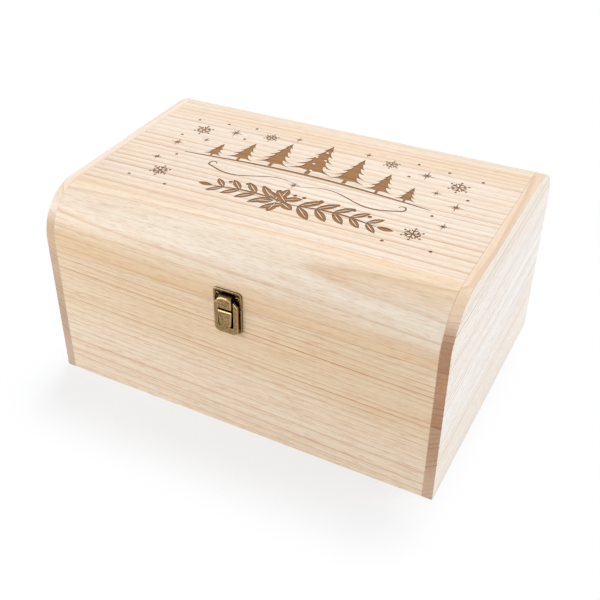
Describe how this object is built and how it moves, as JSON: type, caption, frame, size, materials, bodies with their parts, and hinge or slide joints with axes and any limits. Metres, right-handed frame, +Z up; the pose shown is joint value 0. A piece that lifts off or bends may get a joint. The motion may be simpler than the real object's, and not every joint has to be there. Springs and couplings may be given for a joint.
{
  "type": "wooden keepsake box",
  "caption": "Pale wooden keepsake box with a hinged lid rounded along its long edges, end boards over the joints, butt hinges at the back and a brass hasp latch in front.",
  "frame": {"origin": "middle of the underside, midway between the outer faces of the front and back boards", "axes": "+X to the right along the front, -Y out of the front, +Z up"},
  "size_m": [0.38, 0.2827, 0.19],
  "materials": {
    "board_wood": "bare sanded pale wood, straight grain",
    "rail_wood": "bare sanded pale wood, flat-sawn figure",
    "end_board_wood": "bare sanded pale wood, end grain at its edges",
    "base_wood": "thin bare board",
    "antique_brass": "antiqued brass, bright on worn edges",
    "brass_screws": "antiqued brass"
  },
  "bodies": {
    "box": {"base_panel": "base_wood", "front_panel": "board_wood", "back_panel": "board_wood", "left_end_panel": "end_board_wood", "right_end_panel": "end_board_wood", "hinge_left_box_leaf": "antique_brass", "hinge_right_box_leaf": "antique_brass", "hinge_left_pin": "brass_screws", "hinge_right_pin": "brass_screws", "hinge_box_screws": "brass_screws", "latch_base_plate": "antique_brass", "latch_base_screws": "brass_screws"},
    "lid": {"lid_top_panel": "board_wood", "lid_front_rail": "rail_wood", "lid_back_rail": "rail_wood", "lid_left_end": "end_board_wood", "lid_right_end": "end_board_wood", "hinge_left_lid_leaf": "antique_brass", "hinge_right_lid_leaf": "antique_brass", "hinge_lid_screws": "brass_screws", "latch_keeper_plate": "antique_brass", "latch_keeper_screws": "brass_screws"},
    "hasp": {"latch_hasp": "antique_brass", "latch_hasp_pin": "brass_screws"}
  },
  "joints": [
    {"name": "lid_hinge", "type": "hinge", "parent": "box", "child": "lid", "pos_m": [0, 0.1377, 0.13565], "axis": [-1, 0, 0], "range_deg": [0, 105]},
    {"name": "latch_hasp_hinge", "type": "hinge", "parent": "lid", "child": "hasp", "pos_m": [0, -0.13885, 0.1399], "axis": [-1, 0, 0], "range_deg": [0, 170]}
  ]
}
